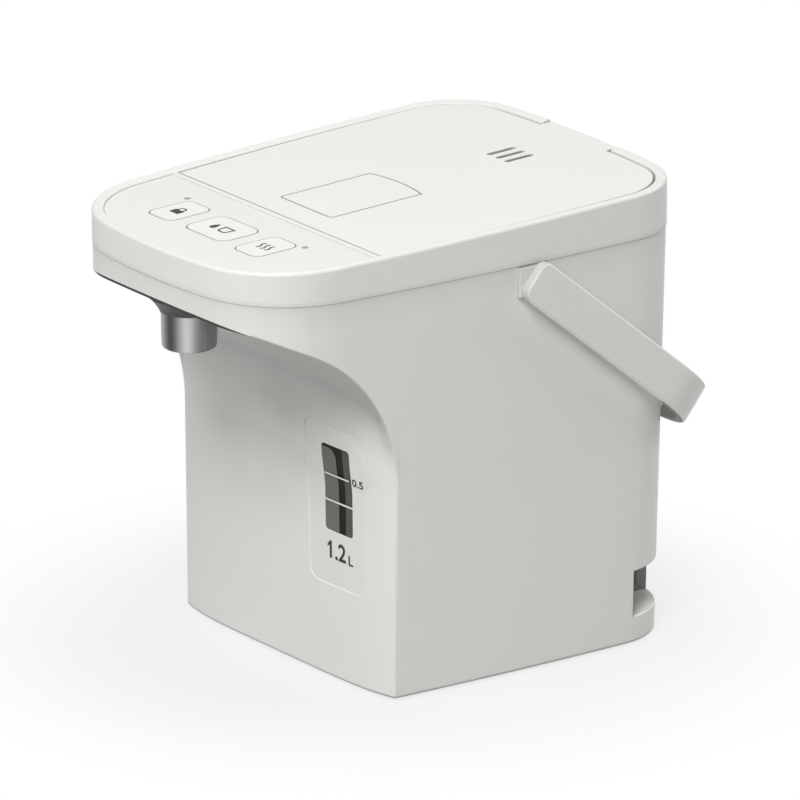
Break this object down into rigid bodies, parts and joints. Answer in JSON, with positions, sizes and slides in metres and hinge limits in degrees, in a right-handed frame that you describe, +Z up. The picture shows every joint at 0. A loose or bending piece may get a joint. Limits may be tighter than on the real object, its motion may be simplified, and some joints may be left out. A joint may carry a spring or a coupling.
{
  "type": "electric thermo pot",
  "caption": "Electric thermo pot with a pouring nose, push buttons, hinged lid with a lift lever, water gauge, pump and swinging carry handle.",
  "frame": {"origin": "on the surface that the pot stands on, under the middle of its width and of its whole length with the handle down", "axes": "+Z up, -Y towards the pouring nose and its buttons, +X to the right of someone who stands in front and faces the nose, which is the side of the water gauge"},
  "size_m": [0.191, 0.2652, 0.2216],
  "materials": {
    "white_shell": "satin moulded plastic, warm white",
    "white_inner": "matt moulded plastic",
    "panel_sheet": "satin printed sheet",
    "button_skin": "satin",
    "lamp": "clear amber",
    "steel": "brushed",
    "screw_steel": "bright zinc",
    "black_plastic": "matt",
    "grey_plastic": "matt",
    "gauge_glass": "clear",
    "silicone": "soft, pale",
    "foot_rubber": "matt",
    "felt": "felt",
    "heater_alloy": "cast",
    "board": "lacquered board",
    "brass": "polished"
  },
  "bodies": {
    "pot_body": {"outer_shell": "white_shell", "shoulder_ring": "white_shell", "control_panel": "panel_sheet", "lamp_lenses": "lamp", "control_board": "board", "tact_switches": "black_plastic", "board_screws": "screw_steel", "gauge_panel": "panel_sheet", "gauge_window": "gauge_glass", "gauge_tube": "gauge_glass", "vessel": "steel", "insulation": "felt", "mouth_seal": "silicone", "mouth_screws": "screw_steel", "heater_plate": "heater_alloy", "heater_clamp": "screw_steel", "thermostat": "black_plastic", "thermal_fuse": "screw_steel", "pump_housing": "white_inner", "pump_cover": "white_inner", "pump_motor": "screw_steel", "suction_tube": "silicone", "delivery_tube": "silicone", "spill_valve": "white_inner", "outlet_tube": "silicone", "spout_nozzle": "white_inner", "spout_sleeve": "steel", "spout_collar": "white_shell", "base_plate": "white_inner", "rubber_feet": "foot_rubber", "base_screws": "screw_steel", "power_inlet": "grey_plastic", "inlet_contacts": "brass", "power_board": "board", "board_parts": "black_plastic", "hinge_pin": "screw_steel"},
    "lid": {"lid_cover": "white_shell", "inner_lid": "white_inner", "lid_shield": "steel", "lid_seal": "silicone", "steam_duct": "white_inner", "lid_screws": "screw_steel", "lever_pin": "screw_steel"},
    "lever": {"lid_lever": "white_shell"},
    "latch": {"lid_latch": "grey_plastic"},
    "left_button": {"button_left": "button_skin"},
    "centre_button": {"button_centre": "button_skin"},
    "right_button": {"button_right": "button_skin"},
    "carry_handle": {"handle": "white_shell", "handle_clips": "screw_steel"},
    "impeller": {"pump_impeller": "white_inner"},
    "magnet": {"drive_magnet": "black_plastic"},
    "ball": {"valve_ball": "screw_steel"}
  },
  "joints": [
    {"name": "lid_hinge", "type": "hinge", "parent": "pot_body", "child": "lid", "pos_m": [0, 0.11523, 0.2155], "axis": [-1, 0, 0], "range_deg": [0, 95]},
    {"name": "lever_hinge", "type": "hinge", "parent": "lid", "child": "lever", "pos_m": [0, 0.00211, 0.21485], "axis": [-1, 0, 0], "range_deg": [0, 30], "stiffness_Nm_per_rad": 0.02, "springref_deg": -17.19},
    {"name": "latch_slide", "type": "slide", "parent": "lid", "child": "latch", "axis": [0, 1, 0], "range_m": [0, 0.0026]},
    {"name": "left_press", "type": "slide", "parent": "pot_body", "child": "left_button", "axis": [0, 0.0319, -0.9995], "range_m": [0, 0.001], "stiffness_N_per_m": 400, "springref_m": -0.0005},
    {"name": "centre_press", "type": "slide", "parent": "pot_body", "child": "centre_button", "axis": [0, 0.0319, -0.9995], "range_m": [0, 0.001], "stiffness_N_per_m": 400, "springref_m": -0.0005},
    {"name": "right_press", "type": "slide", "parent": "pot_body", "child": "right_button", "axis": [0, 0.0319, -0.9995], "range_m": [0, 0.001], "stiffness_N_per_m": 400, "springref_m": -0.0005},
    {"name": "handle_swing", "type": "hinge", "parent": "pot_body", "child": "carry_handle", "pos_m": [0, 0.02063, 0.1901], "axis": [1, 0, 0], "range_deg": [0, 200]},
    {"name": "magnet_spin", "type": "hinge", "parent": "pot_body", "child": "magnet", "pos_m": [0.015, -0.00097, 0.024], "axis": [0, 0, 1], "continuous": true},
    {"name": "impeller_spin", "type": "hinge", "parent": "pot_body", "child": "impeller", "pos_m": [0.015, -0.00097, 0.035], "axis": [0, 0, 1], "continuous": true},
    {"name": "ball_lift", "type": "slide", "parent": "pot_body", "child": "ball", "axis": [0, 0, 1], "range_m": [0, 0.009]}
  ],
  "couplings": [
    {"joint": "latch_slide", "follows": "lever_hinge", "m_per_rad": 0.004775},
    {"joint": "impeller_spin", "follows": "magnet_spin", "ratio": 1}
  ]
}
